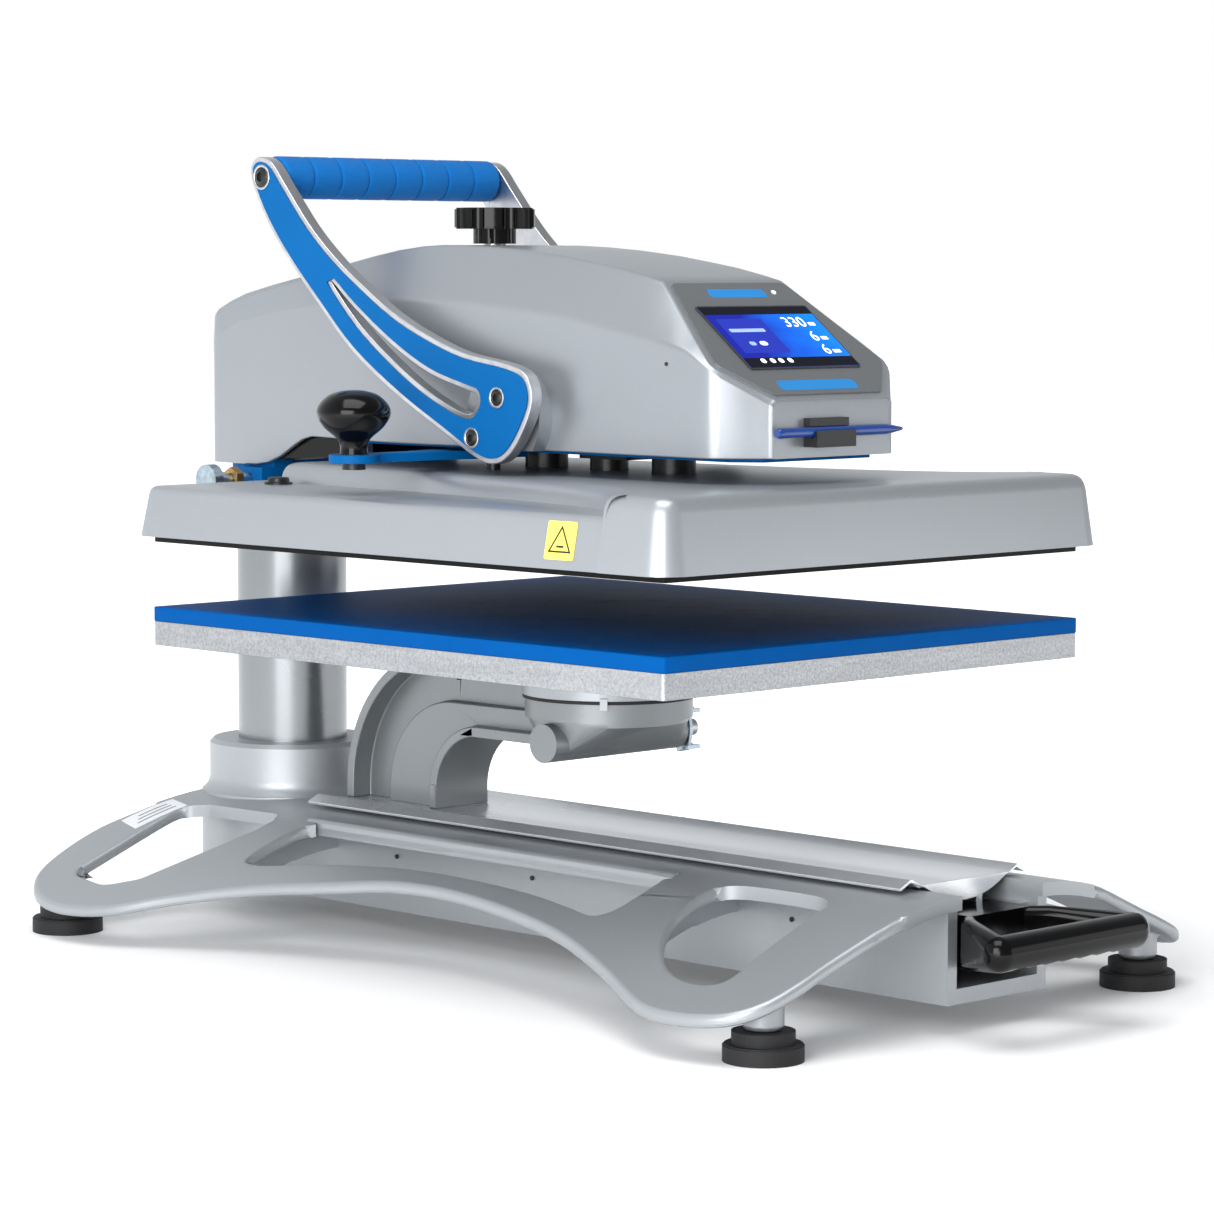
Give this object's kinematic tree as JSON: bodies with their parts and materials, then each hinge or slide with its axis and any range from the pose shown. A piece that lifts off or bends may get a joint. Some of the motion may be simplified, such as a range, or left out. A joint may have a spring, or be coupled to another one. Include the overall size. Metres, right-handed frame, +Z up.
{
  "type": "heat press",
  "caption": "Swing-away heat press: a cast base with a draw-out lower platen on a curved arm, and a column that carries a swinging head with a lever-driven heat platen",
  "frame": {"origin": "on the bench, under the middle of the whole footprint", "axes": "+X to the operator's right, +Y away from the operator, +Z up"},
  "size_m": [0.471, 0.834, 0.5643],
  "materials": {
    "cast_grey": "fine metallic silver-grey paint, satin",
    "housing_grey": "metallic silver-grey paint, satin",
    "bare_aluminium": "machined, bare cast aluminium",
    "column_silver": "silver paint, semi-gloss",
    "steel": "ground steel",
    "zinc": "bright zinc plating",
    "blue_paint": "blue powder coat, satin",
    "blue_foam": "blue foam rubber, matt, with moulded rings",
    "blue_silicone": "blue silicone rubber, matt",
    "black_rubber": "black rubber, matt",
    "black_gloss": "black moulded plastic, gloss",
    "black_metal": "black oxide, semi-gloss",
    "dark_coat": "dark non-stick coat over cast aluminium",
    "bronze": "plain bronze and brass",
    "screen": "touch glass, gloss",
    "pen_blue": "dark blue plastic, gloss",
    "board_green": "circuit board"
  },
  "bodies": {
    "base": {"base_casting": "cast_grey", "column": "column_silver", "foot_pads": "black_rubber", "foot_stems": "steel", "fixed_rails": "steel", "rail_screws": "black_metal"},
    "carriage": {"sled": "bare_aluminium", "runners": "steel", "tray_cover": "cast_grey", "carriage_screws": "black_metal", "c_arm": "cast_grey", "receiver": "cast_grey", "gasket_ring": "black_rubber", "platen_hub": "bare_aluminium", "lower_platen": "bare_aluminium", "silicone_pad": "blue_silicone", "draw_handle": "black_gloss"},
    "platen_latch": {"latch_shaft": "steel", "latch_plate": "zinc"},
    "head": {"swing_arm": "blue_paint", "column_bushes": "bronze", "clamp_nut": "bronze", "swing_handle_arm": "blue_paint", "swing_knob": "black_gloss", "swing_knob_bolt": "black_metal", "housing": "housing_grey", "housing_screws": "black_metal", "control_panel": "housing_grey", "touch_screen": "screen", "pen_holder": "black_metal", "controller_board": "board_green", "power_inlet": "black_metal", "shaft_bushes": "bronze", "guide_bushes": "bronze", "adjuster_block": "steel"},
    "tension_screw": {"tension_knob": "zinc"},
    "stylus": {"pen": "pen_blue"},
    "rocker": {"power_switch": "black_metal"},
    "lever": {"pivot_shaft": "steel", "left_arm": "bare_aluminium", "right_arm": "bare_aluminium", "arm_facings": "blue_paint", "grip_tube": "steel", "foam_grip": "blue_foam", "lever_screws": "black_metal", "crank": "steel"},
    "link": {"toggle_link": "steel"},
    "heat_platen": {"heat_plate": "dark_coat", "heater_element": "bronze", "pressure_plate": "cast_grey", "platen_cover": "housing_grey", "guide_posts": "black_metal", "press_block": "black_metal", "return_rods": "black_metal", "cover_bolts": "black_metal"},
    "pressure_screw": {"pressure_knob": "black_gloss", "knob_spindle": "steel"}
  },
  "joints": [
    {"name": "platen_draw", "type": "slide", "parent": "base", "child": "carriage", "axis": [0, -1, 0], "range_m": [0, 0.33]},
    {"name": "platen_latch_turn", "type": "hinge", "parent": "carriage", "child": "platen_latch", "pos_m": [0.07, 0.006, 0.158], "axis": [1, 0, 0], "range_deg": [0, 90]},
    {"name": "head_swing", "type": "hinge", "parent": "base", "child": "head", "pos_m": [0, 0.348, 0.38], "axis": [0, 0, 1], "range_deg": [0, 90]},
    {"name": "swing_lock_turn", "type": "hinge", "parent": "head", "child": "tension_screw", "pos_m": [-0.1, 0.319, 0.329], "axis": [1, 0, 0], "range_deg": [0, 360]},
    {"name": "pen_slide", "type": "slide", "parent": "head", "child": "stylus", "axis": [1, 0, 0], "range_m": [0, 0.12]},
    {"name": "power_rocker", "type": "hinge", "parent": "head", "child": "rocker", "pos_m": [0.053, 0.3185, 0.422], "axis": [0, 0, 1], "range_deg": [-6, 6]},
    {"name": "pressure_turn", "type": "hinge", "parent": "head", "child": "pressure_screw", "pos_m": [0, 0.123, 0.48], "axis": [0, 0, 1], "continuous": true},
    {"name": "lever_pull", "type": "hinge", "parent": "head", "child": "lever", "pos_m": [0, 0.008, 0.384], "axis": [1, 0, 0], "range_deg": [0, 100]},
    {"name": "link_swing", "type": "hinge", "parent": "lever", "child": "link", "pos_m": [0, -0.01115, 0.40683], "axis": [1, 0, 0], "range_deg": [-100, 0]},
    {"name": "platen_press", "type": "slide", "parent": "head", "child": "heat_platen", "axis": [0, 0, -1], "range_m": [0, 0.0457]}
  ],
  "couplings": [
    {"joint": "link_swing", "follows": "lever_pull", "ratio": -1},
    {"joint": "platen_press", "follows": "lever_pull", "m_per_rad": 0.026184}
  ]
}
